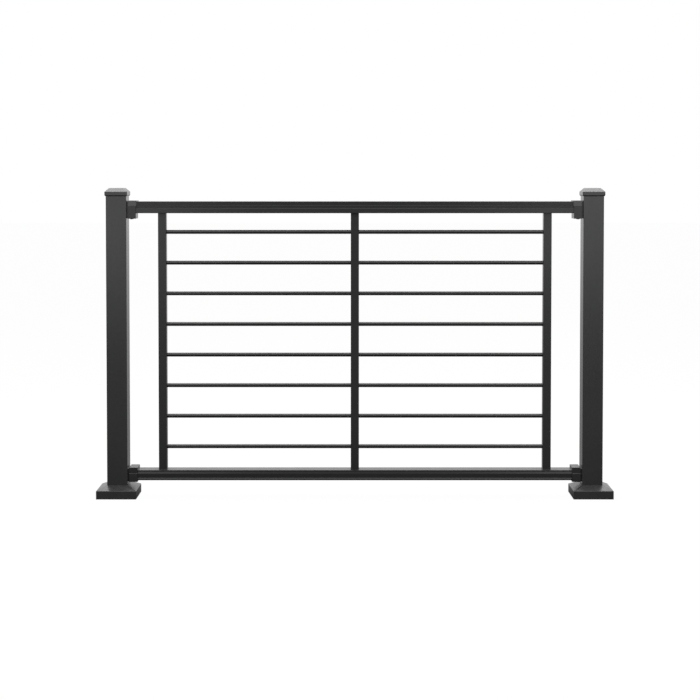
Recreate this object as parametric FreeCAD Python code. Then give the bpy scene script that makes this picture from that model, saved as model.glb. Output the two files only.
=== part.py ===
# Deck railing section: two square posts on bolted base plates, a ribbed top and
# bottom rail held in collar brackets, three square balusters and eight round
# horizontal rods threaded through them. All parts are powder-coated aluminium.
#
# Millimetres. The origin is the centre of the left base plate's underside, on the
# deck. +X runs along the rails to the right post, +Z is up and -Y is the front.

import FreeCAD, Part
import os

Vector = FreeCAD.Vector

# Posts: square tube, centre to centre along the rails.
POST_SPACING = 1480.0
POST_WIDTH = 63.5
POST_WALL = 2.5
POST_CORNER_RADIUS = 0.8
POST_TOP = 949.0

# Base plates, each welded under its post and bolted to the deck.
PLATE_THICKNESS = 9.5
PLATE_CORNER_RADIUS = 8.0
WELD_LEG = 4.0
ANCHOR_HOLE_RADIUS = 5.2
ANCHOR_ROOM_BESIDE_WELD = 6.25
ANCHOR_EDGE_DISTANCE = 12.0

# Base skirts: hollow covers that slide down each post over its plate.
SKIRT_WALL = 2.4
SKIRT_ROOM_BESIDE_PLATE = 5.6
SKIRT_RIM_HEIGHT = 25.6
SKIRT_HEIGHT = 38.8
SKIRT_COLLAR_LAND = 1.2
SKIRT_EDGE_BEVEL = 0.8

# Post caps: a square rim under a bevelled, flat-topped crown.
CAP_RIM_WALL = 3.1
CAP_RIM_HEIGHT = 13.5
CAP_RIM_OVERLAP = 10.0
CAP_BEVEL_HEIGHT = 11.5
CAP_BEVEL_RUN = 12.5
CAP_CROWN_WALL = 2.6
CAP_EDGE_BEVEL = 0.5
CAP_FOOT_BEVEL_HEIGHT = 3.2
CAP_FOOT_BEVEL_RUN = 2.0

# Top rail: hollow profile with a narrow crown over two widening bands. Insets are per side.
TOP_RAIL_DROP = 26.4
TOP_RAIL_HEIGHT = 36.6
TOP_RAIL_DEPTH = 49.0
TOP_RAIL_CROWN_HEIGHT = 11.0
TOP_RAIL_CROWN_INSET = 2.4
TOP_RAIL_SHOULDER_HEIGHT = 2.8
TOP_RAIL_BAND_HEIGHT = 6.4
TOP_RAIL_BAND_INSET = 1.0
TOP_RAIL_STEP_HEIGHT = 2.4

# Bottom rail: the same family of profile, lower and with a lip at its foot.
BOTTOM_RAIL_TOP = 84.2
BOTTOM_RAIL_HEIGHT = 31.7
BOTTOM_RAIL_DEPTH = 51.0
BOTTOM_RAIL_CROWN_HEIGHT = 4.7
BOTTOM_RAIL_CROWN_INSET = 1.7
BOTTOM_RAIL_SHOULDER_HEIGHT = 6.4
BOTTOM_RAIL_BAND_HEIGHT = 13.0
BOTTOM_RAIL_BAND_INSET = 0.8
BOTTOM_RAIL_STEP_HEIGHT = 2.4

# Both rails. Crown and band lean in toward their feet by this much per unit of height.
RAIL_LEAN = 0.05
RAIL_WALL = 2.0
RAIL_CROWN_RADIUS = 1.0
RAIL_FOOT_BEVEL = 1.4
RAIL_END_GAP = 0.5

# Collar brackets: a socket around each rail end and a recessed flange on the post.
BRACKET_LENGTH = 31.0
BRACKET_FLANGE_THICKNESS = 4.5
BRACKET_FLANGE_FOOT_INSET = 1.0
BRACKET_BACK_WALL = 2.6
BRACKET_EDGE_BEVEL = 0.5
BRACKET_POCKET_WALL = 3.0

# Top brackets: a tapered hood that overhangs an upright body, which drops below the rail.
TOP_BRACKET_WALL = 2.4
TOP_BRACKET_HOOD_OVERHANG = 1.0
TOP_BRACKET_HOOD_LIP = 2.0
TOP_BRACKET_HOOD_HEIGHT = 17.4
TOP_BRACKET_HOOD_TAPER = 2.9
TOP_BRACKET_OVER_RAIL = 2.6
TOP_BRACKET_UNDER_RAIL = 17.0
TOP_BRACKET_FLANGE_INSET = 2.0

# Bottom brackets: a narrower upper half over a wider lower half, with a sloping ledge between.
BOTTOM_BRACKET_WALL = 2.2
BOTTOM_BRACKET_LEDGE = 1.2
BOTTOM_BRACKET_LOWER_HEIGHT = 27.5
BOTTOM_BRACKET_OVER_RAIL = 8.8
BOTTOM_BRACKET_UNDER_RAIL = 4.5
BOTTOM_BRACKET_FLANGE_INSET = 4.0

# Balusters: square tubes that enter punched holes in both rails.
BALUSTER_WIDTH = 25.4
BALUSTER_WALL = 1.6
BALUSTER_CORNER_RADIUS = 0.6
BALUSTER_GAP_FROM_POST = 95.8
BALUSTER_HEAD_ROOM = 7.5
BALUSTER_NAMES = ("left_baluster", "middle_baluster", "right_baluster")

# Horizontal rods: round tubes through the middle baluster into the outer two.
ROD_DIAMETER = 12.7
ROD_WALL = 1.5
ROD_COUNT = 8
LOWEST_ROD_RISE = 71.0
HIGHEST_ROD_DROP = 58.8
ROD_END_GAP = 0.8

# Clearance on each side where one piece slides into or over another.
CAP_CLEARANCE = 0.35
SKIRT_CLEARANCE = 0.35
SOCKET_CLEARANCE = 0.3
BALUSTER_CLEARANCE = 0.3
ROD_CLEARANCE = 0.2

# Places and sizes worked out from the ones above.
MID_SPAN = POST_SPACING / 2
LEFT_POST_FACE = POST_WIDTH / 2
LEFT_BALUSTER_X = LEFT_POST_FACE + BALUSTER_GAP_FROM_POST + BALUSTER_WIDTH / 2
BALUSTER_CENTRES = (LEFT_BALUSTER_X, MID_SPAN, POST_SPACING - LEFT_BALUSTER_X)
ANCHOR_SPACING = POST_WIDTH + 2 * (WELD_LEG + ANCHOR_ROOM_BESIDE_WELD)
PLATE_WIDTH = ANCHOR_SPACING + 2 * ANCHOR_EDGE_DISTANCE
SKIRT_WIDTH = PLATE_WIDTH + 2 * (SKIRT_ROOM_BESIDE_PLATE + SKIRT_WALL)
CAP_WIDTH = POST_WIDTH + 2 * (CAP_CLEARANCE + CAP_RIM_WALL)
CAP_PLATEAU_WIDTH = CAP_WIDTH - 2 * CAP_BEVEL_RUN
TOP_RAIL_TOP = POST_TOP - TOP_RAIL_DROP
TOP_RAIL_FOOT = TOP_RAIL_TOP - TOP_RAIL_HEIGHT
BOTTOM_RAIL_FOOT = BOTTOM_RAIL_TOP - BOTTOM_RAIL_HEIGHT
BRACKET_SOCKET_FLOOR = BRACKET_FLANGE_THICKNESS + BRACKET_BACK_WALL
RAIL_START = LEFT_POST_FACE + BRACKET_SOCKET_FLOOR + RAIL_END_GAP
RAIL_LENGTH = POST_SPACING - 2 * RAIL_START
TOP_BRACKET_DEPTH = TOP_RAIL_DEPTH + 2 * (SOCKET_CLEARANCE + TOP_BRACKET_WALL)
BOTTOM_BRACKET_UPPER_DEPTH = BOTTOM_RAIL_DEPTH + 2 * (SOCKET_CLEARANCE + BOTTOM_BRACKET_WALL)
LOWEST_ROD_HEIGHT = BOTTOM_RAIL_TOP + LOWEST_ROD_RISE
HIGHEST_ROD_HEIGHT = TOP_RAIL_FOOT - HIGHEST_ROD_DROP


def square_prism(width, bottom, top, corner_radius=0.0):
    """Upright square block centred on the origin, its four upright edges rounded."""
    half = width / 2
    block = Part.makeBox(width, width, top - bottom, Vector(-half, -half, bottom))
    if corner_radius > 0:
        block = block.makeFillet(corner_radius, upright_edges(block))
    return block


def upright_edges(shape):
    """Straight edges of a block that run along Z."""
    return [edge for edge in shape.Edges if runs_along(edge, Vector(0, 0, 1))]


def runs_along(edge, direction):
    """True for a straight edge parallel to the direction."""
    ends = [vertex.Point for vertex in edge.Vertexes]
    if len(ends) != 2:
        return False
    return (ends[1] - ends[0]).cross(direction).Length < 1e-6


def square_ring(width, height, bevel=0.0):
    """Corners of a square centred on the Z axis at a height, each cut back by a bevel."""
    half = width / 2
    near = half - bevel
    corner = [(near, -half), (half, -near)] if bevel > 0 else [(half, -half)]
    ring = []
    for _ in range(4):
        ring += [Vector(x, y, height) for x, y in corner]
        corner = [(-y, x) for x, y in corner]
    return ring


def flat_face(corners):
    """Face bounded by straight edges through the corners."""
    return Part.Face(Part.makePolygon(corners + corners[:1]))


def square_stack(stations, bevel=0.0):
    """Solid with flat sides through square sections, given as width and height pairs, foot first."""
    rings = [square_ring(width, height, bevel) for width, height in stations]
    faces = [flat_face(rings[0][::-1]), flat_face(rings[-1])]
    for lower, upper in zip(rings, rings[1:]):
        sides = zip(lower, lower[1:] + lower[:1], upper[1:] + upper[:1], upper)
        faces += [flat_face(list(corners)) for corners in sides]
    return Part.makeSolid(Part.makeShell(faces))


def bevelled(stations, bevel):
    """Stations with every corner above the first cut back by a bevel, also at the flat top's rim."""
    line = [Vector(width / 2, 0, height) for width, height in stations]
    line.append(Vector(0, 0, line[-1].z))
    cut = line[:1]
    for before, corner, after in zip(line, line[1:], line[2:]):
        cut.append(corner + (before - corner).normalize() * bevel)
        cut.append(corner + (after - corner).normalize() * bevel)
    return [(2 * point.x, point.z) for point in cut]


def section_outline(stations):
    """Points of a section, symmetric front to back, from depth and height pairs, foot first."""
    front = [(-depth / 2, height) for depth, height in stations]
    back = [(depth / 2, height) for depth, height in reversed(stations)]
    return front + back


def extruded_section(points, x, length):
    """Section through (y, z) points drawn out along the rails from x."""
    return flat_face([Vector(x, y, z) for y, z in points]).extrude(Vector(length, 0, 0))


def grown_section(points, x, length, clearance):
    """Section offset outward by a clearance and drawn out along the rails from x."""
    corners = [Vector(x, y, z) for y, z in points]
    wire = Part.makePolygon(corners + corners[:1])
    grown = wire.makeOffset2D(clearance, join=2)
    return Part.Face(grown).extrude(Vector(length, 0, 0))


def base_plate():
    """Square plate with rounded corners, four anchor holes and the weld around the post's foot."""
    plate = square_prism(PLATE_WIDTH, 0, PLATE_THICKNESS, PLATE_CORNER_RADIUS)
    half = ANCHOR_SPACING / 2
    for x in (-half, half):
        for y in (-half, half):
            hole = Part.makeCylinder(ANCHOR_HOLE_RADIUS, PLATE_THICKNESS, Vector(x, y, 0))
            plate = plate.cut(hole)
    weld = square_stack(
        [
            (POST_WIDTH + 2 * WELD_LEG, PLATE_THICKNESS),
            (POST_WIDTH, PLATE_THICKNESS + WELD_LEG),
        ]
    )
    post_room = square_prism(POST_WIDTH, PLATE_THICKNESS, PLATE_THICKNESS + WELD_LEG)
    return plate.fuse(weld.cut(post_room)).removeSplitter()


def post():
    """Square tube from the base plate to the cap's seat."""
    outer = square_prism(POST_WIDTH, PLATE_THICKNESS, POST_TOP, POST_CORNER_RADIUS)
    inner = square_prism(POST_WIDTH - 2 * POST_WALL, PLATE_THICKNESS, POST_TOP)
    return outer.cut(inner)


def post_cap():
    """Hollow cap whose rim laps over the post and whose seat rests on the post's end."""
    rim_foot = POST_TOP - CAP_RIM_OVERLAP
    rim_top = rim_foot + CAP_RIM_HEIGHT
    cap_top = rim_top + CAP_BEVEL_HEIGHT
    profile = [
        (CAP_WIDTH - 2 * CAP_FOOT_BEVEL_RUN, rim_foot),
        (CAP_WIDTH, rim_foot + CAP_FOOT_BEVEL_HEIGHT),
        (CAP_WIDTH, rim_top),
        (CAP_PLATEAU_WIDTH, cap_top),
    ]
    outer = square_stack(bevelled(profile, CAP_EDGE_BEVEL), CAP_EDGE_BEVEL)
    socket = square_prism(POST_WIDTH + 2 * CAP_CLEARANCE, rim_foot, POST_TOP)
    hollow_width = POST_WIDTH - 2 * POST_WALL
    hollow = square_stack(
        [
            (hollow_width, POST_TOP),
            (hollow_width, rim_top - CAP_CROWN_WALL / 2),
            (CAP_PLATEAU_WIDTH - CAP_CROWN_WALL, cap_top - CAP_CROWN_WALL),
        ]
    )
    return outer.cut(socket).cut(hollow)


def base_skirt():
    """Hollow cover with an upright rim and four sloping sides up to the post."""
    opening = POST_WIDTH + 2 * SKIRT_CLEARANCE
    land = opening + 2 * SKIRT_COLLAR_LAND
    profile = [(SKIRT_WIDTH, 0), (SKIRT_WIDTH, SKIRT_RIM_HEIGHT), (land, SKIRT_HEIGHT)]
    outer = square_stack(bevelled(profile, SKIRT_EDGE_BEVEL), SKIRT_EDGE_BEVEL)
    inside = SKIRT_WIDTH - 2 * SKIRT_WALL
    room = square_stack(
        [
            (inside, 0),
            (inside, SKIRT_RIM_HEIGHT - SKIRT_WALL),
            (opening, SKIRT_HEIGHT - SKIRT_WALL),
        ]
    )
    passage = square_prism(opening, 0, SKIRT_HEIGHT)
    return outer.cut(room).cut(passage)


def rail_section(foot, top, depth, crown, shoulder_height, band, step_height):
    """Outline of a rail, as (y, z) points. Crown and band give a height and the inset of their tops."""
    crown_height, crown_inset = crown
    band_height, band_inset = band
    crown_foot = top - crown_height
    band_top = crown_foot - shoulder_height
    band_foot = band_top - band_height
    face_top = band_foot - step_height
    crown_depth = depth - 2 * crown_inset
    band_depth = depth - 2 * band_inset
    return section_outline(
        [
            (depth - 2 * RAIL_FOOT_BEVEL, foot),
            (depth, foot + RAIL_FOOT_BEVEL),
            (depth, face_top),
            (band_depth - 2 * RAIL_LEAN * band_height, band_foot),
            (band_depth, band_top),
            (crown_depth - 2 * RAIL_LEAN * crown_height, crown_foot),
            (crown_depth, top),
        ]
    )


def top_rail_section():
    """Outline of the top rail: a tall crown over two short bands."""
    return rail_section(
        TOP_RAIL_FOOT,
        TOP_RAIL_TOP,
        TOP_RAIL_DEPTH,
        (TOP_RAIL_CROWN_HEIGHT, TOP_RAIL_CROWN_INSET),
        TOP_RAIL_SHOULDER_HEIGHT,
        (TOP_RAIL_BAND_HEIGHT, TOP_RAIL_BAND_INSET),
        TOP_RAIL_STEP_HEIGHT,
    )


def bottom_rail_section():
    """Outline of the bottom rail: a low crown over a tall band and a lip."""
    return rail_section(
        BOTTOM_RAIL_FOOT,
        BOTTOM_RAIL_TOP,
        BOTTOM_RAIL_DEPTH,
        (BOTTOM_RAIL_CROWN_HEIGHT, BOTTOM_RAIL_CROWN_INSET),
        BOTTOM_RAIL_SHOULDER_HEIGHT,
        (BOTTOM_RAIL_BAND_HEIGHT, BOTTOM_RAIL_BAND_INSET),
        BOTTOM_RAIL_STEP_HEIGHT,
    )


def hollow_rail(points, crown_height):
    """Rail from one bracket's socket to the other, its crown's top edges rounded and its core hollow."""
    rail = extruded_section(points, RAIL_START, RAIL_LENGTH)
    top_edges = [
        edge
        for edge in rail.Edges
        if runs_along(edge, Vector(1, 0, 0)) and abs(edge.BoundBox.ZMax - crown_height) < 1e-6
    ]
    rail = rail.makeFillet(RAIL_CROWN_RADIUS, top_edges)
    core = grown_section(points, RAIL_START, RAIL_LENGTH, -RAIL_WALL)
    return rail.cut(core)


def baluster_hole(x, bottom, top):
    """Room that a rail's punched hole leaves around a baluster."""
    hole = square_prism(BALUSTER_WIDTH + 2 * BALUSTER_CLEARANCE, bottom, top)
    return hole.translated(Vector(x, 0, 0))


def top_rail():
    """Top rail, its underside punched for the balusters."""
    rail = hollow_rail(top_rail_section(), TOP_RAIL_TOP)
    for x in BALUSTER_CENTRES:
        rail = rail.cut(baluster_hole(x, TOP_RAIL_FOOT, TOP_RAIL_FOOT + RAIL_WALL))
    return rail


def bottom_rail():
    """Bottom rail, its top face punched for the balusters."""
    rail = hollow_rail(bottom_rail_section(), BOTTOM_RAIL_TOP)
    for x in BALUSTER_CENTRES:
        rail = rail.cut(baluster_hole(x, BOTTOM_RAIL_TOP - RAIL_WALL, BOTTOM_RAIL_TOP))
    return rail


def rod_heights():
    """Height of each rod's centre, lowest first, evenly shared between the lowest and the highest."""
    pitch = (HIGHEST_ROD_HEIGHT - LOWEST_ROD_HEIGHT) / (ROD_COUNT - 1)
    return [LOWEST_ROD_HEIGHT + index * pitch for index in range(ROD_COUNT)]


def rod_cylinder(radius, start, end, height):
    """Round bar along X between two places."""
    return Part.makeCylinder(radius, end - start, Vector(start, 0, height), Vector(1, 0, 0))


def baluster(x):
    """Square tube standing on the bottom rail's floor and reaching up inside the top rail."""
    bottom = BOTTOM_RAIL_FOOT + RAIL_WALL
    top = TOP_RAIL_TOP - RAIL_WALL - BALUSTER_HEAD_ROOM
    outer = square_prism(BALUSTER_WIDTH, bottom, top, BALUSTER_CORNER_RADIUS)
    inner = square_prism(BALUSTER_WIDTH - 2 * BALUSTER_WALL, bottom, top)
    tube = outer.cut(inner).translated(Vector(x, 0, 0))
    radius = ROD_DIAMETER / 2 + ROD_CLEARANCE
    for height in rod_heights():
        for start, end in drilled_walls(x):
            tube = tube.cut(rod_cylinder(radius, start, end, height))
    return tube


def drilled_walls(x):
    """Spans of the side walls that the rods pass: both on the middle baluster, the inner one outside."""
    half = BALUSTER_WIDTH / 2
    left_wall = (x - half, x - half + BALUSTER_WALL)
    right_wall = (x + half - BALUSTER_WALL, x + half)
    walls = []
    if x > BALUSTER_CENTRES[0]:
        walls.append(left_wall)
    if x < BALUSTER_CENTRES[-1]:
        walls.append(right_wall)
    return walls


def rod(height):
    """Round tube whose ends stop just short of the outer balusters' far walls."""
    reach = BALUSTER_WIDTH / 2 - BALUSTER_WALL - ROD_END_GAP
    start = BALUSTER_CENTRES[0] - reach
    end = BALUSTER_CENTRES[-1] + reach
    outer = rod_cylinder(ROD_DIAMETER / 2, start, end, height)
    inner = rod_cylinder(ROD_DIAMETER / 2 - ROD_WALL, start, end, height)
    return outer.cut(inner)


def bracket_flange(depth, bottom, top, inset):
    """Recessed plate between the collar and the post's face."""
    foot = bottom + BRACKET_FLANGE_FOOT_INSET
    return Part.makeBox(
        BRACKET_FLANGE_THICKNESS,
        depth - 2 * inset,
        top - inset - foot,
        Vector(LEFT_POST_FACE, -depth / 2 + inset, foot),
    )


def collar(stations, length):
    """Block around the rail from the flange to a mouth, from depth and height pairs, its edges bevelled."""
    start = LEFT_POST_FACE + BRACKET_FLANGE_THICKNESS
    block = extruded_section(section_outline(stations), start, length - BRACKET_FLANGE_THICKNESS)
    return block.makeChamfer(BRACKET_EDGE_BEVEL, block.Edges)


def bracket_socket(rail_points):
    """Room for the rail's end, open at the bracket's mouth."""
    start = LEFT_POST_FACE + BRACKET_SOCKET_FLOOR
    length = BRACKET_LENGTH - BRACKET_SOCKET_FLOOR
    return grown_section(rail_points, start, length, SOCKET_CLEARANCE)


def bracket_pocket(depth, length, bottom, top):
    """Core of a top bracket's solid part, open on the post's side."""
    wall = BRACKET_POCKET_WALL
    width = depth - 2 * (TOP_BRACKET_FLANGE_INSET + wall)
    floor = bottom + BRACKET_FLANGE_FOOT_INSET + wall
    corner = Vector(LEFT_POST_FACE, -width / 2, floor)
    return Part.makeBox(length - wall, width, top - wall - floor, corner)


def top_bracket():
    """Left top bracket: a tapered hood over an upright body, cored below the rail."""
    bottom = TOP_RAIL_FOOT - TOP_BRACKET_UNDER_RAIL
    top = TOP_RAIL_TOP + TOP_BRACKET_OVER_RAIL
    hood_foot = top - TOP_BRACKET_HOOD_HEIGHT
    hood_depth = TOP_BRACKET_DEPTH + 2 * TOP_BRACKET_HOOD_OVERHANG
    crest_depth = hood_depth - 2 * TOP_BRACKET_HOOD_TAPER
    body_top = hood_foot + 2 * BRACKET_EDGE_BEVEL
    body_length = BRACKET_LENGTH - TOP_BRACKET_HOOD_LIP
    hood = collar([(hood_depth, hood_foot), (crest_depth, top)], BRACKET_LENGTH)
    body = collar([(TOP_BRACKET_DEPTH, bottom), (TOP_BRACKET_DEPTH, body_top)], body_length)
    flange = bracket_flange(crest_depth, bottom, top, TOP_BRACKET_FLANGE_INSET)
    pocket = bracket_pocket(crest_depth, body_length, bottom, TOP_RAIL_FOOT - SOCKET_CLEARANCE)
    shape = hood.fuse(body).fuse(flange).removeSplitter()
    return shape.cut(bracket_socket(top_rail_section())).cut(pocket)


def bottom_bracket():
    """Left bottom bracket: narrower upper half over a wider lower half, split by a sloping ledge."""
    bottom = BOTTOM_RAIL_FOOT - BOTTOM_BRACKET_UNDER_RAIL
    top = BOTTOM_RAIL_TOP + BOTTOM_BRACKET_OVER_RAIL
    ledge = bottom + BOTTOM_BRACKET_LOWER_HEIGHT
    upper_depth = BOTTOM_BRACKET_UPPER_DEPTH
    lower_depth = upper_depth + 2 * BOTTOM_BRACKET_LEDGE
    slope_foot = ledge - BOTTOM_BRACKET_LEDGE
    lower = collar([(lower_depth, bottom), (lower_depth, slope_foot), (upper_depth, ledge)], BRACKET_LENGTH)
    upper = collar([(upper_depth, ledge - 2 * BRACKET_EDGE_BEVEL), (upper_depth, top)], BRACKET_LENGTH)
    flange = bracket_flange(upper_depth, bottom, top, BOTTOM_BRACKET_FLANGE_INSET)
    shape = lower.fuse(upper).fuse(flange).removeSplitter()
    return shape.cut(bracket_socket(bottom_rail_section()))


def moved(shape, x):
    """Copy of a shape shifted along the rails."""
    return shape.translated(Vector(x, 0, 0))


def mirrored(shape):
    """Copy of a left-hand piece for the right-hand end."""
    return shape.mirror(Vector(MID_SPAN, 0, 0), Vector(1, 0, 0))


def post_pieces():
    """Post, plate, skirt and cap at both ends."""
    pieces = {}
    for side, x in (("left", 0.0), ("right", POST_SPACING)):
        pieces[side + "_post"] = moved(post(), x)
        pieces[side + "_base_plate"] = moved(base_plate(), x)
        pieces[side + "_base_skirt"] = moved(base_skirt(), x)
        pieces[side + "_post_cap"] = moved(post_cap(), x)
    return pieces


def rail_pieces():
    """Both rails and the four brackets that hold their ends."""
    pieces = {"top_rail": top_rail(), "bottom_rail": bottom_rail()}
    for level, bracket in (("top", top_bracket()), ("bottom", bottom_bracket())):
        pieces[level + "_left_bracket"] = bracket
        pieces[level + "_right_bracket"] = mirrored(bracket)
    return pieces


def infill_pieces():
    """Three balusters and the rods, numbered from the bottom."""
    pieces = {name: baluster(x) for name, x in zip(BALUSTER_NAMES, BALUSTER_CENTRES)}
    for number, height in enumerate(rod_heights(), start=1):
        pieces["rod_" + str(number)] = rod(height)
    return pieces


def main():
    os.makedirs("parts", exist_ok=True)
    pieces = {**post_pieces(), **rail_pieces(), **infill_pieces()}
    for name, shape in pieces.items():
        shape.exportStep("parts/" + name + ".step")


main()
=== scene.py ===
import math

import bmesh
import bpy
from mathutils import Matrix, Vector


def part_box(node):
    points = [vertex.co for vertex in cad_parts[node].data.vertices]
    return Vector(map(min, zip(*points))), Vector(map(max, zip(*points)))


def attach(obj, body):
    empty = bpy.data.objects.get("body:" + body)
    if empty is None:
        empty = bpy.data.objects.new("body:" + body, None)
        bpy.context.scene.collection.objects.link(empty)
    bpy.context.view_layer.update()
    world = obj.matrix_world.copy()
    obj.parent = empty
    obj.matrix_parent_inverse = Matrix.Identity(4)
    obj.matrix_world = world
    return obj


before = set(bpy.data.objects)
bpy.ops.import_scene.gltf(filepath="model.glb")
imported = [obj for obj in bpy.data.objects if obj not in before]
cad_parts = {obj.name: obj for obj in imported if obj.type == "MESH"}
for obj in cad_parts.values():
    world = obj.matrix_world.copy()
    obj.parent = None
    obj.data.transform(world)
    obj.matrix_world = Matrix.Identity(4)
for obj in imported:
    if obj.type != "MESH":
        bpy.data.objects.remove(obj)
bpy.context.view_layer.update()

bl_info = {
    "name": "Deck railing section",
    "version": (1, 0, 0),
    "blender": (4, 5, 0),
    "location": "3D View > Sidebar > Railing",
    "description": "Powder-coat finishes, bracket screws and a plain studio for a deck railing section",
    "category": "Object",
}

POSTS = ("left_post", "right_post")
RAILS = ("top_rail", "bottom_rail")
BALUSTERS = ("left_baluster", "middle_baluster", "right_baluster")
RODS = tuple(sorted(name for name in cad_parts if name.startswith("rod_")))
CAPS = ("left_post_cap", "right_post_cap")
SKIRTS = ("left_base_skirt", "right_base_skirt")
PLATES = ("left_base_plate", "right_base_plate")
TOP_BRACKETS = ("top_left_bracket", "top_right_bracket")
BOTTOM_BRACKETS = ("bottom_left_bracket", "bottom_right_bracket")

# Noises of the finishes: spacing in metres, detail and, where it isn't the usual one, roughness.
CLOUDS = (0.16, 2.0)
MOTTLE = (0.012, 3.0)
GLOSS_WAVES = (0.07, 3.0)
DUST_LUMPS = (0.035, 5.0, 0.62)
SCUFFS = (0.009, 6.0, 0.7)
PLATE_GLOSS_WAVES = (0.02, 3.0)
DRIVER_MARKS = (0.0011, 5.0, 0.7)
HEAD_GLOSS_WAVES = (0.0016, 3.0)

# Scales of the clouds and gloss waves along X, Y and Z. A quarter draws them out to four times their length.
DRAWN_UPRIGHT = (1.0, 1.0, 0.25)
DRAWN_LEVEL = (0.25, 1.0, 1.0)
NOT_DRAWN = (1.0, 1.0, 1.0)

# How much clouds and mottle each bring to the coat's tone, and how far its roughness goes either way.
CLOUD_SHARE = 0.6
MOTTLE_SHARE = 0.4
ROUGHNESS_CHANGE = 0.02

# Dust starts on faces that look up by the first slope and is full by the second. Its patches follow its noise
# between two levels, down to a thinnest share, and full dust adds to the roughness.
DUST_SLOPES = (0.55, 0.98)
DUST_LEVELS = (0.35, 0.65)
THINNEST_DUST = 0.25
DUST_ROUGHNESS = 1.2

# Size and depth of each piece's grain, as shares of the finish's own.
TUBE_GRAIN = (1.0, 1.0)
ROD_GRAIN = (0.5, 0.25)
COVER_GRAIN = (1.2, 0.72)
BRACKET_GRAIN = (1.2, 0.96)
PLATE_GRAIN = (1.6, 2.0)

# Ripples of the coat, as multiples of its pimples.
RIPPLE_SPREAD = 5.0
RIPPLE_HEIGHT = 1.6

# Base plates: tones as shares of the coat's colour, roughness, and the noise levels at which scuffs come up.
PLATE_TONE = 0.9
SCUFF_TONE = 2.2
PLATE_ROUGHNESS = (0.46, 0.58)
SCUFF_LEVELS = (0.56, 0.70)

# Screw heads: the same, with bare steel in the marks that the driver left.
HEAD_TONE = 1.1
HEAD_ROUGHNESS = (0.30, 0.42)
DRIVER_MARK_LEVELS = (0.60, 0.72)
BARE_STEEL = (0.22, 0.22, 0.23)
BARE_STEEL_SHARE = 0.8

# Pan head. Each step of its dome goes in by a share of the radius and down by a share of the dome's height.
HEAD_SIDES = 36
HEAD_RIM_SHARE = 0.45
HEAD_STEPS = ((0.10, 0.42), (0.16, 0.33), (0.20, 0.25))
HEAD_EDGE_SOFTNESS = 0.00012
SOFTENED_ANGLE = math.radians(40)
SMOOTH_ANGLE = math.radians(35)

# Square recess: its depth as a share of the head's height, and, as shares of its width, the half diagonals at
# the cutter's outer and inner ends and how far the cutter starts under the head.
RECESS_DEPTH_SHARE = 0.62
RECESS_MOUTH = 0.72
RECESS_FLOOR = 0.62
RECESS_OVERCUT = 0.2

# The screws stand this far from the middle of their bracket, toward the post.
SCREW_SET_BACK = 0.002

# A face looks straight down where its normal's Z is under this.
STRAIGHT_DOWN = -0.99

# The floor lies a hair under the base plates, whose undersides are at height 0.
FLOOR_SIZE = 40.0
FLOOR_CENTRE_Y = 6.0
FLOOR_GAP = 0.0003

# White of the backdrop and the floor's glow, and the faint one that takes the object's light and shadow.
FULL_WHITE = (1.0, 1.0, 1.0, 1.0)
FAINT_WHITE = (0.02, 0.02, 0.02, 1.0)

# The floor as glossy faces see it: pairs of places along Y, and a part's brightness at both. The part behind
# the object fades in from nothing, and the backdrop's part multiplies it.
BEHIND_PLACES = (-0.08, 0.3)
BACKDROP_PLACES = (1.0, 14.0)
BACKDROP_LEVELS = (0.35, 0.75)
FRONT_PLACES = (-1.5, -0.5)
FRONT_LEVELS = (0.15, 0.0)

# The mirrored room turns from its front level to its wall level between these values of a ray's Y.
ROOM_TURN = (-0.35, 0.15)

# Soft lamps: width and length, then place and target, both from mid-span on the floor.
OVERHEAD_LAMP = ((3.4, 2.2), (0.0, 0.9, 2.9), (0.0, 0.9, 0.0))
CREST_LAMP = ((3.4, 0.8), (0.0, 0.1, 2.85), (0.0, 0.1, 0.0))
CEILING_LAMP = ((6.0, 3.0), (0.0, -3.4, 3.3), (0.0, 0.0, 0.5))
LEFT_FRONT_LAMP = ((1.3, 3.1), (-1.6, -4.9, 1.8), (-1.6, 0.0, 1.8))
RIGHT_FRONT_LAMP = ((1.3, 3.1), (1.6, -4.9, 1.8), (1.6, 0.0, 1.8))

SENSOR_WIDTH = 36.0


# Settings


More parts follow.
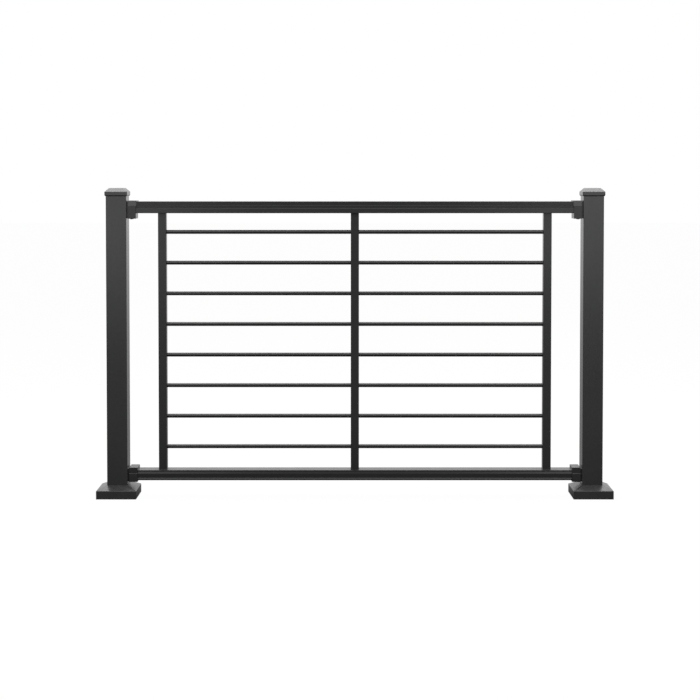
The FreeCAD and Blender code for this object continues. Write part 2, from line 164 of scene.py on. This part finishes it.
class RailingFinish(bpy.types.PropertyGroup):
    """Colour, gloss, grain and dust of the coats"""

    coat_colour: bpy.props.FloatVectorProperty(
        name="Coat colour",
        description="Charcoal powder coat on every visible piece",
        subtype="COLOR",
        size=3,
        min=0.0,
        max=1.0,
        default=(0.035, 0.035, 0.036),
    )
    tone_change: bpy.props.FloatProperty(
        name="Tone change",
        description="How much lighter or darker the coat gets from place to place",
        subtype="FACTOR",
        min=0.0,
        max=0.5,
        default=0.10,
    )
    gloss_level: bpy.props.FloatProperty(
        name="Gloss level",
        description="How strongly the coat of posts, caps and skirts reflects when it is seen straight on",
        subtype="FACTOR",
        min=0.0,
        max=1.0,
        default=0.5,
    )
    infill_gloss_level: bpy.props.FloatProperty(
        name="Infill gloss level",
        description="The same for the coat of rails, brackets and balusters",
        subtype="FACTOR",
        min=0.0,
        max=1.0,
        default=0.38,
    )
    rod_gloss_level: bpy.props.FloatProperty(
        name="Rod gloss level",
        description="The same for the rods",
        subtype="FACTOR",
        min=0.0,
        max=1.0,
        default=0.6,
    )
    # Painted shade: rails, brackets and balusters wear a darker copy of the posts' charcoal coat, standing in
    # for how shaded they look.
    infill_painted_shade: bpy.props.FloatProperty(
        name="Infill tone",
        description="The colour of rails, brackets and balusters as a share of the posts' colour",
        min=0.2,
        max=3.0,
        default=0.8,
    )
    # Painted shade: the rods wear a much darker copy of the posts' charcoal coat, standing in for the shade
    # on the thin rods.
    rod_painted_shade: bpy.props.FloatProperty(
        name="Rod tone",
        description="The rods' colour as a share of the posts' colour",
        min=0.2,
        max=3.0,
        default=0.4,
    )
    tube_roughness: bpy.props.FloatProperty(
        name="Tube roughness",
        description="Roughness of the satin coat on posts, rails and balusters",
        subtype="FACTOR",
        min=0.1,
        max=1.0,
        default=0.22,
    )
    rod_roughness: bpy.props.FloatProperty(
        name="Rod roughness",
        description="Roughness of the coat on the thin rods",
        subtype="FACTOR",
        min=0.1,
        max=1.0,
        default=0.25,
    )
    casting_roughness: bpy.props.FloatProperty(
        name="Casting roughness",
        description="Roughness of the coat on caps, skirts and brackets",
        subtype="FACTOR",
        min=0.1,
        max=1.0,
        default=0.24,
    )
    grain_size: bpy.props.FloatProperty(
        name="Grain size",
        description="Distance between the fine pimples of the powder coat",
        subtype="DISTANCE",
        unit="LENGTH",
        min=0.0001,
        max=0.01,
        precision=5,
        default=0.0009,
    )
    grain_depth: bpy.props.FloatProperty(
        name="Grain depth",
        description="Height of the pimples of the powder coat",
        subtype="DISTANCE",
        unit="LENGTH",
        min=0.0,
        max=0.001,
        precision=6,
        default=0.000012,
    )
    dust_colour: bpy.props.FloatVectorProperty(
        name="Dust colour",
        description="Thin dust that settles on faces that look up",
        subtype="COLOR",
        size=3,
        min=0.0,
        max=1.0,
        default=(0.20, 0.19, 0.175),
    )
    dust_amount: bpy.props.FloatProperty(
        name="Dust amount",
        description="How much of the dust shows where it is thickest",
        subtype="FACTOR",
        min=0.0,
        max=1.0,
        default=0.06,
    )


class RailingScrew(bpy.types.PropertyGroup):
    """Sizes of the screws under the brackets"""

    head_diameter: bpy.props.FloatProperty(
        name="Head diameter",
        description="Diameter of the pan heads under the brackets",
        subtype="DISTANCE",
        unit="LENGTH",
        min=0.003,
        max=0.02,
        default=0.0086,
    )
    head_height: bpy.props.FloatProperty(
        name="Head height",
        description="How far a pan head stands proud of its bracket",
        subtype="DISTANCE",
        unit="LENGTH",
        min=0.001,
        max=0.008,
        default=0.0029,
    )
    recess_width: bpy.props.FloatProperty(
        name="Recess width",
        description="Width of the square drive recess in the head",
        subtype="DISTANCE",
        unit="LENGTH",
        min=0.001,
        max=0.006,
        default=0.0028,
    )
    pair_spacing: bpy.props.FloatProperty(
        name="Pair spacing",
        description="Distance between the two screws under each bracket",
        subtype="DISTANCE",
        unit="LENGTH",
        min=0.01,
        max=0.05,
        default=0.026,
    )


class RailingStudio(bpy.types.PropertyGroup):
    """Camera, floor, room and lamps"""

    camera_distance: bpy.props.FloatProperty(
        name="Camera distance",
        description="From the lens to the front faces of the posts",
        subtype="DISTANCE",
        unit="LENGTH",
        min=1.0,
        max=20.0,
        default=4.85,
    )
    camera_height: bpy.props.FloatProperty(
        name="Camera height",
        description="Height of the lens above the floor",
        subtype="DISTANCE",
        unit="LENGTH",
        min=0.1,
        max=3.0,
        default=1.0168,
    )
    camera_side: bpy.props.FloatProperty(
        name="Camera offset",
        description="How far the lens stands to the right of mid-span",
        subtype="DISTANCE",
        unit="LENGTH",
        min=-2.0,
        max=2.0,
        default=-0.0151,
    )
    camera_tilt: bpy.props.FloatProperty(
        name="Camera tilt",
        description="Slight downward tilt, which leaves less to the vertical shift",
        subtype="ANGLE",
        min=0.0,
        max=0.5,
        default=math.radians(2.0),
    )
    focal_length: bpy.props.FloatProperty(
        name="Focal length",
        description="Focal length on a 36 mm wide sensor",
        subtype="DISTANCE_CAMERA",
        min=20.0,
        max=300.0,
        default=80.563,
    )
    picture_shift: bpy.props.FloatProperty(
        name="Vertical shift",
        description="Shift of the lens that frames the whole section",
        min=-1.0,
        max=1.0,
        default=-0.1775,
    )
    floor_colour: bpy.props.FloatVectorProperty(
        name="Floor colour",
        description="How pale the floor is to the light that it sends back to the object",
        subtype="COLOR",
        size=3,
        min=0.0,
        max=1.0,
        default=(0.22, 0.22, 0.22),
    )
    room_level: bpy.props.FloatProperty(
        name="Room level",
        description="Even light that reaches the object from all round",
        min=0.0,
        max=3.0,
        default=0.40,
    )
    floor_glow: bpy.props.FloatProperty(
        name="Floor glow",
        description="How white the floor looks to the eye before the object's light and shadow are added",
        min=0.0,
        max=1.0,
        default=0.978,
    )
    front_level: bpy.props.FloatProperty(
        name="Front level",
        description="What glossy faces mirror of the unlit room in front of the object",
        min=0.0,
        max=3.0,
        default=0.2,
    )
    wall_level: bpy.props.FloatProperty(
        name="Wall level",
        description="What glossy faces mirror of the backdrop behind the object",
        min=0.0,
        max=1.0,
        default=1.0,
    )
    overhead_power: bpy.props.FloatProperty(
        name="Overhead power",
        description="Power of the soft lamp above the object, a little behind it",
        subtype="POWER",
        min=0.0,
        max=2000.0,
        default=95.0,
    )
    crest_power: bpy.props.FloatProperty(
        name="Crest power",
        description="Power of the narrow soft lamp that the caps' sloping crowns mirror",
        subtype="POWER",
        min=0.0,
        max=2000.0,
        default=20.0,
    )
    ceiling_power: bpy.props.FloatProperty(
        name="Ceiling power",
        description="Power of the wide soft lamp up in front of the object",
        subtype="POWER",
        min=0.0,
        max=2000.0,
        default=92.0,
    )
    left_front_power: bpy.props.FloatProperty(
        name="Left front power",
        description="Power of the tall soft lamp to the left of the camera",
        subtype="POWER",
        min=0.0,
        max=2000.0,
        default=15.5,
    )
    right_front_power: bpy.props.FloatProperty(
        name="Right front power",
        description="Power of the tall soft lamp to the right of the camera",
        subtype="POWER",
        min=0.0,
        max=2000.0,
        default=17.5,
    )


# Node helpers


def new_material(name):
    """Material with a Principled surface, its node tree and the shader."""
    material = bpy.data.materials.new(name)
    material.use_nodes = True
    tree = material.node_tree
    return material, tree, tree.nodes["Principled BSDF"]


def node(tree, kind, **values):
    """Node of a kind with its properties and its sockets' values set by name."""
    made = tree.nodes.new(kind)
    for name, value in values.items():
        if name in made.inputs:
            made.inputs[name].default_value = value
        else:
            setattr(made, name, value)
    return made


def noise(tree, position, spacing, detail, roughness=0.5):
    """Noise whose lumps are about a spacing apart, in metres."""
    made = node(tree, "ShaderNodeTexNoise", Scale=1.0 / spacing, Detail=detail, Roughness=roughness)
    tree.links.new(position, made.inputs["Vector"])
    return made.outputs["Fac"]


def remap(tree, value, lowest, highest, from_lowest=0.3, from_highest=0.7):
    """Value moved into a range, from the one that noise mostly keeps to unless another is given."""
    made = node(tree, "ShaderNodeMapRange")
    made.inputs["From Min"].default_value = from_lowest
    made.inputs["From Max"].default_value = from_highest
    made.inputs["To Min"].default_value = lowest
    made.inputs["To Max"].default_value = highest
    tree.links.new(value, made.inputs["Value"])
    return made.outputs["Result"]


def arithmetic(tree, operation, first, second=None):
    """Math node on one or two values, each a socket or a number."""
    made = node(tree, "ShaderNodeMath", operation=operation)
    for socket, value in zip(made.inputs, (first, second)):
        if isinstance(value, bpy.types.NodeSocket):
            tree.links.new(value, socket)
        elif value is not None:
            socket.default_value = value
    return made.outputs[0]


def blended(tree, amount, first, second):
    """Colour mixed from two colours, each a socket or an RGB triple."""
    made = node(tree, "ShaderNodeMix", data_type="RGBA")
    tree.links.new(amount, made.inputs["Factor"])
    for name, value in (("A", first), ("B", second)):
        socket = next(item for item in made.inputs if item.name == name and item.type == "RGBA")
        if isinstance(value, bpy.types.NodeSocket):
            tree.links.new(value, socket)
        else:
            socket.default_value = (*value, 1.0)
    return next(item for item in made.outputs if item.type == "RGBA")


def scaled_colour(colour, factor):
    """Colour made lighter or darker."""
    return tuple(min(1.0, channel * factor) for channel in colour)


def clouded_colour(tree, place, drawn, finish, painted_shade_share):
    """Coat's colour, a little darker and lighter in slow clouds and finer mottle, and scaled by a share that,
    below one, is painted shade.
    """
    clouds = arithmetic(tree, "MULTIPLY", noise(tree, drawn, *CLOUDS), CLOUD_SHARE)
    mottle = arithmetic(tree, "MULTIPLY", noise(tree, place, *MOTTLE), MOTTLE_SHARE)
    tone = remap(tree, arithmetic(tree, "ADD", clouds, mottle), 0.0, 1.0)
    darkest = scaled_colour(finish.coat_colour, painted_shade_share * (1.0 - finish.tone_change))
    palest = scaled_colour(finish.coat_colour, painted_shade_share * (1.0 + finish.tone_change))
    return blended(tree, tone, darkest, palest)


def settled_dust(tree, place, finish):
    """Share of dust over the coat: patchy, and only on faces that look up."""
    facing = node(tree, "ShaderNodeSeparateXYZ")
    tree.links.new(node(tree, "ShaderNodeNewGeometry").outputs["Normal"], facing.inputs[0])
    upward = remap(tree, facing.outputs["Z"], 0.0, 1.0, *DUST_SLOPES)
    patches = remap(tree, noise(tree, place, *DUST_LUMPS), THINNEST_DUST, 1.0, *DUST_LEVELS)
    thickness = arithmetic(tree, "MULTIPLY", upward, patches)
    return arithmetic(tree, "MULTIPLY", thickness, finish.dust_amount)


def pimpled(tree, place, spacing):
    """Relief of fine pimples, a spacing apart, over broader ripples."""
    pimples = noise(tree, place, spacing, detail=2.0)
    ripples = noise(tree, place, spacing * RIPPLE_SPREAD, detail=1.0)
    return arithmetic(tree, "ADD", pimples, arithmetic(tree, "MULTIPLY", ripples, RIPPLE_HEIGHT))


def add_relief(tree, shader, relief, depth):
    """Gives a shader a relief, as a bump of a depth."""
    bump = node(tree, "ShaderNodeBump", Strength=1.0, Distance=depth)
    tree.links.new(relief, bump.inputs["Height"])
    tree.links.new(bump.outputs["Normal"], shader.inputs["Normal"])


def powder_coat(name, finish, gloss_level, roughness, scales, grain, painted_shade_share=1.0):
    """Charcoal powder coat with fine grain, slow waves in tone and gloss, and thin dust on top; a share below
    one darkens it as painted shade.
    """
    material, tree, shader = new_material(name)
    place = node(tree, "ShaderNodeTexCoord").outputs["Object"]
    mapping = node(tree, "ShaderNodeMapping", Scale=scales)
    tree.links.new(place, mapping.inputs["Vector"])
    drawn = mapping.outputs["Vector"]

    coat = clouded_colour(tree, place, drawn, finish, painted_shade_share)
    dust = settled_dust(tree, place, finish)
    tree.links.new(blended(tree, dust, coat, tuple(finish.dust_colour)), shader.inputs["Base Color"])

    waves = noise(tree, drawn, *GLOSS_WAVES)
    clean = remap(tree, waves, roughness - ROUGHNESS_CHANGE, roughness + ROUGHNESS_CHANGE)
    dulling = arithmetic(tree, "MULTIPLY", dust, DUST_ROUGHNESS)
    tree.links.new(arithmetic(tree, "ADD", clean, dulling), shader.inputs["Roughness"])

    size_share, depth_share = grain
    relief = pimpled(tree, place, finish.grain_size * size_share)
    add_relief(tree, shader, relief, finish.grain_depth * depth_share)

    shader.inputs["Specular IOR Level"].default_value = gloss_level
    shader.inputs["IOR"].default_value = 1.5
    return material


def dress(names, material):
    """Gives a material to the nodes with these names."""
    for name in names:
        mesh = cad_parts[name].data
        mesh.materials.clear()
        mesh.materials.append(material)


# Finishes


class RAILING_OT_coat_tubes(bpy.types.Operator):
    """Coats the posts, rails, balusters and rods, with tone and gloss drawn out along each tube, and paints
    shade on rails, balusters and rods as darker copies of the posts' coat
    """

    bl_idname = "railing.coat_tubes"
    bl_label = "Coat the tubes"

    def execute(self, context):
        finish = context.scene.railing_finish
        satin = finish.tube_roughness
        gloss = finish.infill_gloss_level
        # Painted shade: balusters and rails take the darker copy of the coat.
        tone = finish.infill_painted_shade
        post_coat = powder_coat("post_coat", finish, finish.gloss_level, satin, DRAWN_UPRIGHT, TUBE_GRAIN)
        baluster_coat = powder_coat("baluster_coat", finish, gloss, satin, DRAWN_UPRIGHT, TUBE_GRAIN, tone)
        rail_coat = powder_coat("rail_coat", finish, gloss, satin, DRAWN_LEVEL, TUBE_GRAIN, tone)
        # Painted shade: the rods take a much darker copy of the coat.
        rod_coat = powder_coat(
            "rod_coat",
            finish,
            finish.rod_gloss_level,
            finish.rod_roughness,
            DRAWN_LEVEL,
            ROD_GRAIN,
            finish.rod_painted_shade,
        )
        dress(POSTS, post_coat)
        dress(BALUSTERS, baluster_coat)
        dress(RAILS, rail_coat)
        dress(RODS, rod_coat)
        return {"FINISHED"}


class RAILING_OT_coat_castings(bpy.types.Operator):
    """Coats the caps, skirts and brackets, with the slightly coarser grain of coated castings, and paints
    shade on the brackets as a darker copy of the coat
    """

    bl_idname = "railing.coat_castings"
    bl_label = "Coat the castings"

    def execute(self, context):
        finish = context.scene.railing_finish
        satin = finish.casting_roughness
        gloss = finish.infill_gloss_level
        # Painted shade: the brackets take the darker copy of the coat.
        tone = finish.infill_painted_shade
        cover_coat = powder_coat("cover_coat", finish, finish.gloss_level, satin, NOT_DRAWN, COVER_GRAIN)
        bracket_coat = powder_coat("bracket_coat", finish, gloss, satin, NOT_DRAWN, BRACKET_GRAIN, tone)
        dress(CAPS + SKIRTS, cover_coat)
        dress(TOP_BRACKETS + BOTTOM_BRACKETS, bracket_coat)
        return {"FINISHED"}


class RAILING_OT_finish_plates(bpy.types.Operator):
    """Finishes the base plates: flat black coat, scuffed where they stand on the deck"""

    bl_idname = "railing.finish_plates"
    bl_label = "Finish the base plates"

    def execute(self, context):
        finish = context.scene.railing_finish
        material, tree, shader = new_material("base_plate_coat")
        place = node(tree, "ShaderNodeTexCoord").outputs["Object"]
        scuffs = remap(tree, noise(tree, place, *SCUFFS), 0.0, 1.0, *SCUFF_LEVELS)
        whole = scaled_colour(finish.coat_colour, PLATE_TONE)
        scuffed = scaled_colour(finish.coat_colour, SCUFF_TONE)
        tree.links.new(blended(tree, scuffs, whole, scuffed), shader.inputs["Base Color"])
        roughness = remap(tree, noise(tree, place, *PLATE_GLOSS_WAVES), *PLATE_ROUGHNESS)
        tree.links.new(roughness, shader.inputs["Roughness"])
        size_share, depth_share = PLATE_GRAIN
        relief = noise(tree, place, finish.grain_size * size_share, detail=2.0)
        add_relief(tree, shader, relief, finish.grain_depth * depth_share)
        shader.inputs["Specular IOR Level"].default_value = finish.gloss_level
        dress(PLATES, material)
        return {"FINISHED"}


# Bracket screws


def only(piece):
    """Leaves one object selected and active."""
    bpy.ops.object.select_all(action="DESELECT")
    piece.select_set(True)
    bpy.context.view_layer.objects.active = piece


def select_lowest_face(piece):
    """Selects the face of a mesh in edit mode that looks down and lies lowest."""
    mesh = bmesh.from_edit_mesh(piece.data)
    for face in mesh.faces:
        face.select = False
    facing_down = [face for face in mesh.faces if face.normal.z < STRAIGHT_DOWN]
    lowest = min(facing_down, key=lambda face: face.calc_center_median().z)
    lowest.select = True
    mesh.select_flush_mode()
    bmesh.update_edit_mesh(piece.data)


def pan_head(screw):
    """Pan head that hangs from the origin: a domed disc with a square drive recess in its underside."""
    radius = screw.head_diameter / 2
    rim = screw.head_height * HEAD_RIM_SHARE
    dome = screw.head_height - rim
    bpy.ops.object.select_all(action="DESELECT")
    bpy.ops.mesh.primitive_cylinder_add(
        vertices=HEAD_SIDES, radius=radius, depth=rim, location=(0, 0, -rim / 2)
    )
    head = bpy.context.object
    bpy.ops.object.mode_set(mode="EDIT")
    bpy.ops.mesh.select_mode(type="FACE")
    for inset, drop in HEAD_STEPS:
        select_lowest_face(head)
        bpy.ops.mesh.inset(thickness=radius * inset)
        bpy.ops.transform.translate(value=(0, 0, -dome * drop))
    bpy.ops.object.mode_set(mode="OBJECT")
    cut_recess(head, screw.recess_width, screw.head_height)
    soften = head.modifiers.new("softened edges", "BEVEL")
    soften.width = HEAD_EDGE_SOFTNESS
    soften.segments = 2
    soften.limit_method = "ANGLE"
    soften.angle_limit = SOFTENED_ANGLE
    only(head)
    bpy.ops.object.modifier_apply(modifier=soften.name)
    bpy.ops.object.shade_smooth_by_angle(angle=SMOOTH_ANGLE)
    return head


def cut_recess(head, width, height):
    """Cuts the square drive recess, tapered toward its floor, into a head."""
    depth = height * RECESS_DEPTH_SHARE
    overcut = width * RECESS_OVERCUT
    middle = -height - overcut / 2 + depth / 2
    bpy.ops.object.select_all(action="DESELECT")
    bpy.ops.mesh.primitive_cone_add(
        vertices=4,
        radius1=width * RECESS_MOUTH,
        radius2=width * RECESS_FLOOR,
        depth=depth + overcut,
        location=(0, 0, middle),
        rotation=(0, 0, math.radians(45)),
    )
    cutter = bpy.context.object
    bpy.ops.object.transform_apply(location=True, rotation=True, scale=True)
    cut = head.modifiers.new("drive recess", "BOOLEAN")
    cut.operation = "DIFFERENCE"
    cut.solver = "EXACT"
    cut.object = cutter
    only(head)
    bpy.ops.object.modifier_apply(modifier=cut.name)
    bpy.data.objects.remove(cutter)


def screw_places(bracket, spacing):
    """Centres of the two screw heads under a bracket, one toward the front and one toward the back."""
    low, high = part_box(bracket)
    middle = (low.x + high.x) / 2
    along = middle + math.copysign(SCREW_SET_BACK, middle - span_middle())
    return [Vector((along, side * spacing / 2, low.z)) for side in (-1, 1)]


def span_middle():
    """Place of mid-span along the rails."""
    low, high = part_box("middle_baluster")
    return (low.x + high.x) / 2


def screw_material(finish):
    """Coated steel of the screw heads, a little duller than the brackets, with driver marks."""
    material, tree, shader = new_material("screw_head_coat")
    place = node(tree, "ShaderNodeTexCoord").outputs["Object"]
    marks = remap(tree, noise(tree, place, *DRIVER_MARKS), 0.0, 1.0, *DRIVER_MARK_LEVELS)
    coat = scaled_colour(finish.coat_colour, HEAD_TONE)
    tree.links.new(blended(tree, marks, coat, BARE_STEEL), shader.inputs["Base Color"])
    tree.links.new(arithmetic(tree, "MULTIPLY", marks, BARE_STEEL_SHARE), shader.inputs["Metallic"])
    roughness = remap(tree, noise(tree, place, *HEAD_GLOSS_WAVES), *HEAD_ROUGHNESS)
    tree.links.new(roughness, shader.inputs["Roughness"])
    return material


def screw_pair(pattern, bracket, spacing):
    """Two copies of a screw head under a bracket, joined as one piece."""
    heads = []
    for place in screw_places(bracket, spacing):
        only(pattern)
        bpy.ops.object.duplicate(linked=False)
        head = bpy.context.object
        head.location = place
        heads.append(head)
    for head in heads:
        head.select_set(True)
    bpy.context.view_layer.objects.active = heads[0]
    bpy.ops.object.join()
    pair = bpy.context.object
    bpy.ops.object.transform_apply(location=True, rotation=True, scale=True)
    pair.name = bracket.replace("bracket", "screws")
    return pair


class RAILING_OT_add_bracket_screws(bpy.types.Operator):
    """Adds two pan-head screws under each bracket, which hold the rail's end"""

    bl_idname = "railing.add_bracket_screws"
    bl_label = "Add the bracket screws"

    def execute(self, context):
        screw = context.scene.railing_screw
        pattern = pan_head(screw)
        pattern.data.materials.append(screw_material(context.scene.railing_finish))
        for bracket in TOP_BRACKETS + BOTTOM_BRACKETS:
            pair = screw_pair(pattern, bracket, screw.pair_spacing)
            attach(pair, "root")
        bpy.data.objects.remove(pattern)
        return {"FINISHED"}


# Studio


def lay_floor(studio):
    """Plain pale floor: white to the eye under the object's soft shadow, and graded to glossy faces."""
    centre = (span_middle(), FLOOR_CENTRE_Y, -FLOOR_GAP)
    bpy.ops.object.select_all(action="DESELECT")
    bpy.ops.mesh.primitive_plane_add(size=FLOOR_SIZE, location=centre)
    floor = bpy.context.object
    floor.name = "studio_floor"
    bpy.ops.object.transform_apply(location=True, rotation=True, scale=True)
    material = bpy.data.materials.new("studio_floor")
    material.use_nodes = True
    material.cycles.emission_sampling = "NONE"
    tree = material.node_tree
    tree.nodes.clear()
    path = node(tree, "ShaderNodeLightPath").outputs
    seen = arithmetic(tree, "MAXIMUM", path["Is Camera Ray"], path["Is Transmission Ray"])
    matt = node(tree, "ShaderNodeBsdfDiffuse", Color=(*studio.floor_colour, 1.0))
    faint = node(tree, "ShaderNodeBsdfDiffuse", Color=FAINT_WHITE)
    glow = node(tree, "ShaderNodeEmission", Color=FULL_WHITE, Strength=studio.floor_glow)
    white = joined(tree, "ShaderNodeAddShader", faint, glow)
    mirrored = node(tree, "ShaderNodeEmission", Color=FULL_WHITE)
    tree.links.new(mirrored_floor(tree), mirrored.inputs["Strength"])
    unseen = joined(tree, "ShaderNodeMixShader", matt, mirrored, path["Is Glossy Ray"])
    surface = joined(tree, "ShaderNodeMixShader", unseen, white, seen)
    output = node(tree, "ShaderNodeOutputMaterial")
    tree.links.new(surface.outputs[0], output.inputs["Surface"])
    floor.data.materials.append(material)


def joined(tree, kind, first, second, amount=None):
    """Add or mix shader over two shaders."""
    made = node(tree, kind)
    tree.links.new(first.outputs[0], made.inputs[-2])
    tree.links.new(second.outputs[0], made.inputs[-1])
    if amount is not None:
        tree.links.new(amount, made.inputs[0])
    return made


def mirrored_floor(tree):
    """Brightness that glossy faces mirror of the floor, by its place from front to back.

    It is dark close in front of the object, a little brighter further out, and pale behind, more so toward
    the backdrop.
    """
    place = node(tree, "ShaderNodeSeparateXYZ")
    tree.links.new(node(tree, "ShaderNodeTexCoord").outputs["Object"], place.inputs[0])
    depth = place.outputs["Y"]
    behind = remap(tree, depth, 0.0, 1.0, *BEHIND_PLACES)
    toward_backdrop = remap(tree, depth, *BACKDROP_LEVELS, *BACKDROP_PLACES)
    in_front = remap(tree, depth, *FRONT_LEVELS, *FRONT_PLACES)
    return arithmetic(tree, "ADD", arithmetic(tree, "MULTIPLY", behind, toward_backdrop), in_front)


def light_room(studio):
    """White backdrop all round to the eye, with a dimmer room in front of the object for glossy faces."""
    world = bpy.data.worlds.new("studio_room")
    bpy.context.scene.world = world
    world.use_nodes = True
    world.cycles.sampling_method = "NONE"
    tree = world.node_tree
    tree.nodes.clear()
    direction = node(tree, "ShaderNodeSeparateXYZ")
    tree.links.new(node(tree, "ShaderNodeTexCoord").outputs["Generated"], direction.inputs[0])
    behind = remap(tree, direction.outputs["Y"], 0.0, 1.0, *ROOM_TURN)
    path = node(tree, "ShaderNodeLightPath").outputs
    seen = arithmetic(tree, "MAXIMUM", path["Is Camera Ray"], path["Is Transmission Ray"])
    mirrored = between(tree, behind, studio.front_level, studio.wall_level)
    unseen = between(tree, path["Is Glossy Ray"], studio.room_level, mirrored)
    background = node(tree, "ShaderNodeBackground", Color=FULL_WHITE)
    tree.links.new(between(tree, seen, unseen, 1.0), background.inputs["Strength"])
    output = node(tree, "ShaderNodeOutputWorld")
    tree.links.new(background.outputs[0], output.inputs["Surface"])


def between(tree, amount, first, second):
    """Number mixed from two numbers, each a socket or a number."""
    made = node(tree, "ShaderNodeMix", data_type="FLOAT")
    tree.links.new(amount, made.inputs["Factor"])
    for name, value in (("A", first), ("B", second)):
        if isinstance(value, bpy.types.NodeSocket):
            tree.links.new(value, made.inputs[name])
        else:
            made.inputs[name].default_value = value
    return made.outputs["Result"]


def soft_lamp(name, power, size, place, target):
    """Rectangular soft lamp at a place, turned to a target, both from mid-span on the floor."""
    light = bpy.data.lights.new(name, "AREA")
    light.energy = power
    light.shape = "RECTANGLE"
    light.size, light.size_y = size
    lamp = bpy.data.objects.new(name, light)
    bpy.context.scene.collection.objects.link(lamp)
    across, depth, height = place
    lamp.location = (span_middle() + across, depth, height)
    lamp.rotation_euler = (Vector(target) - Vector(place)).to_track_quat("-Z", "Y").to_euler()
    lamp.visible_camera = False


def set_camera(studio):
    """Camera at the photograph's place, tilted and shifted a little to frame the section."""
    low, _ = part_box("left_post")
    camera = bpy.data.cameras.new("studio_camera")
    camera.lens = studio.focal_length
    camera.sensor_width = SENSOR_WIDTH
    camera.shift_y = studio.picture_shift
    holder = bpy.data.objects.new("studio_camera", camera)
    bpy.context.scene.collection.objects.link(holder)
    across = span_middle() + studio.camera_side
    holder.location = (across, low.y - studio.camera_distance, studio.camera_height)
    holder.rotation_euler = (math.radians(90) - studio.camera_tilt, 0.0, 0.0)
    bpy.context.scene.camera = holder


class RAILING_OT_set_stage(bpy.types.Operator):
    """Sets the pale floor, the white room, the soft lamps and the camera"""

    bl_idname = "railing.set_stage"
    bl_label = "Set the stage"

    def execute(self, context):
        studio = context.scene.railing_studio
        set_camera(studio)
        lay_floor(studio)
        light_room(studio)
        soft_lamp("overhead_lamp", studio.overhead_power, *OVERHEAD_LAMP)
        soft_lamp("crest_lamp", studio.crest_power, *CREST_LAMP)
        soft_lamp("ceiling_lamp", studio.ceiling_power, *CEILING_LAMP)
        soft_lamp("left_front_lamp", studio.left_front_power, *LEFT_FRONT_LAMP)
        soft_lamp("right_front_lamp", studio.right_front_power, *RIGHT_FRONT_LAMP)
        context.scene.view_settings.view_transform = "Standard"
        return {"FINISHED"}


class RAILING_PT_sidebar(bpy.types.Panel):
    """Lists the steps that dress the railing section"""

    bl_idname = "RAILING_PT_sidebar"
    bl_label = "Deck railing section"
    bl_space_type = "VIEW_3D"
    bl_region_type = "UI"
    bl_category = "Railing"

    def draw(self, context):
        column = self.layout.column()
        for settings in (
            context.scene.railing_finish,
            context.scene.railing_screw,
            context.scene.railing_studio,
        ):
            for name in settings.__annotations__:
                column.prop(settings, name)
        for step in STEPS:
            column.operator(step.bl_idname)


STEPS = (
    RAILING_OT_coat_tubes,
    RAILING_OT_coat_castings,
    RAILING_OT_finish_plates,
    RAILING_OT_add_bracket_screws,
    RAILING_OT_set_stage,
)
CLASSES = (RailingFinish, RailingScrew, RailingStudio) + STEPS + (RAILING_PT_sidebar,)


def register():
    for item in CLASSES:
        bpy.utils.register_class(item)
    bpy.types.Scene.railing_finish = bpy.props.PointerProperty(type=RailingFinish)
    bpy.types.Scene.railing_screw = bpy.props.PointerProperty(type=RailingScrew)
    bpy.types.Scene.railing_studio = bpy.props.PointerProperty(type=RailingStudio)


def unregister():
    del bpy.types.Scene.railing_studio
    del bpy.types.Scene.railing_screw
    del bpy.types.Scene.railing_finish
    for item in reversed(CLASSES):
        bpy.utils.unregister_class(item)


def main():
    register()
    bpy.ops.railing.coat_tubes()
    bpy.ops.railing.coat_castings()
    bpy.ops.railing.finish_plates()
    bpy.ops.railing.add_bracket_screws()
    bpy.ops.railing.set_stage()


if __name__ == "__main__":
    main()
